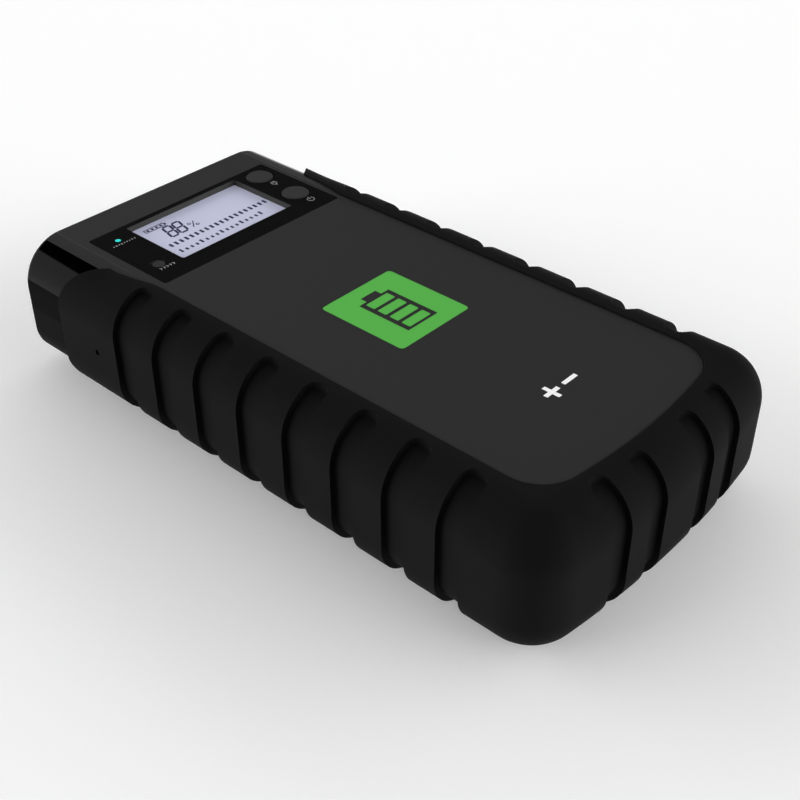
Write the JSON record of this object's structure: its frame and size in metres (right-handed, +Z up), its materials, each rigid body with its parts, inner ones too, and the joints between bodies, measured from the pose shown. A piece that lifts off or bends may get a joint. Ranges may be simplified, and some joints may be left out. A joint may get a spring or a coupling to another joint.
{
  "type": "jump starter pack",
  "caption": "Handheld lithium jump starter: slotted rubber boot on a hard case, display, push buttons, and a sealed socket end.",
  "frame": {"origin": "under the middle of the pack, on the surface it lies on", "axes": "+X to the user's right, +Y along the pack towards the display and socket end, +Z up out of the top panel"},
  "size_m": [0.1004, 0.1922, 0.04],
  "materials": {
    "housing_plastic": "moulded black plastic, gloss where bare",
    "panel_plastic": "dark grey satin plastic",
    "boot_rubber": "matte black rubber",
    "steel": "bright zinc plated steel",
    "bezel_gloss": "gloss black overlay",
    "frame_plastic": "dark grey plastic",
    "display_glass": "pale lavender display with dark segments",
    "white_plastic": "white plastic",
    "circuit_board": "green solder mask",
    "button_plastic": "dark grey satin plastic",
    "black_plastic": "black plastic",
    "light_turquoise": "turquoise light pipe",
    "end_plastic": "fine matt black plastic",
    "cover_rubber": "matt black moulding",
    "socket_plastic": "blue plastic",
    "contact_brass": "gold plated brass",
    "reflector_chrome": "bright metallised reflector",
    "lens_clear": "clear plastic lens",
    "aluminium_plain": "bare aluminium",
    "cell_foil": "aluminium laminate pouch",
    "foam_grey": "closed cell foam",
    "strap_copper": "tinned copper strap",
    "lead_red": "red silicone sleeve",
    "lead_black": "black silicone sleeve"
  },
  "bodies": {
    "pack": {"lower_housing": "housing_plastic", "upper_housing": "panel_plastic", "rubber_boot": "boot_rubber", "housing_screws": "steel", "display_bezel": "bezel_gloss", "lcd_frame": "frame_plastic", "lcd_panel": "display_glass", "lcd_backlight": "white_plastic", "display_board": "circuit_board", "display_screws": "steel", "tact_switches": "black_plastic", "charge_light_pipe": "light_turquoise", "charge_led": "white_plastic", "end_panel": "end_plastic", "cover_hinge_pin": "steel", "jump_socket": "socket_plastic", "jump_contacts": "contact_brass", "charge_jack": "black_plastic", "charge_jack_pin": "steel", "usb_shell_lower": "steel", "usb_shell_upper": "steel", "usb_insulator": "white_plastic", "torch_reflector": "reflector_chrome", "torch_lens": "lens_clear", "torch_led": "white_plastic", "main_board": "circuit_board", "board_screws": "steel", "power_transistors": "black_plastic", "heat_sink": "aluminium_plain", "capacitors": "aluminium_plain", "inductor": "black_plastic", "buzzer": "black_plastic", "board_ribbon": "white_plastic", "ribbon_sockets": "white_plastic", "balance_plug": "white_plastic", "cell_lower": "cell_foil", "cell_middle": "cell_foil", "cell_upper": "cell_foil", "cell_foam": "foam_grey", "pack_cushion": "foam_grey", "bus_bars": "strap_copper", "fuse_link": "steel", "positive_lead": "lead_red", "negative_lead": "lead_black"},
    "power_button_body": {"power_button": "button_plastic", "power_plunger": "black_plastic"},
    "function_button_body": {"function_button": "button_plastic", "function_plunger": "black_plastic"},
    "boost_button_body": {"boost_button": "button_plastic", "boost_plunger": "black_plastic"},
    "cover_body": {"socket_cover": "cover_rubber"}
  },
  "joints": [
    {"name": "power_press", "type": "slide", "parent": "pack", "child": "power_button_body", "axis": [0, 0, -1], "range_m": [0, 0.0004], "stiffness_N_per_m": 600},
    {"name": "function_press", "type": "slide", "parent": "pack", "child": "function_button_body", "axis": [0, 0, -1], "range_m": [0, 0.0004], "stiffness_N_per_m": 600},
    {"name": "boost_press", "type": "slide", "parent": "pack", "child": "boost_button_body", "axis": [0, 0, -1], "range_m": [0, 0.0004], "stiffness_N_per_m": 600},
    {"name": "cover_hinge", "type": "hinge", "parent": "pack", "child": "cover_body", "pos_m": [-0.0195, 0.0941, 0.0291], "axis": [1, 0, 0], "range_deg": [0, 95]}
  ]
}
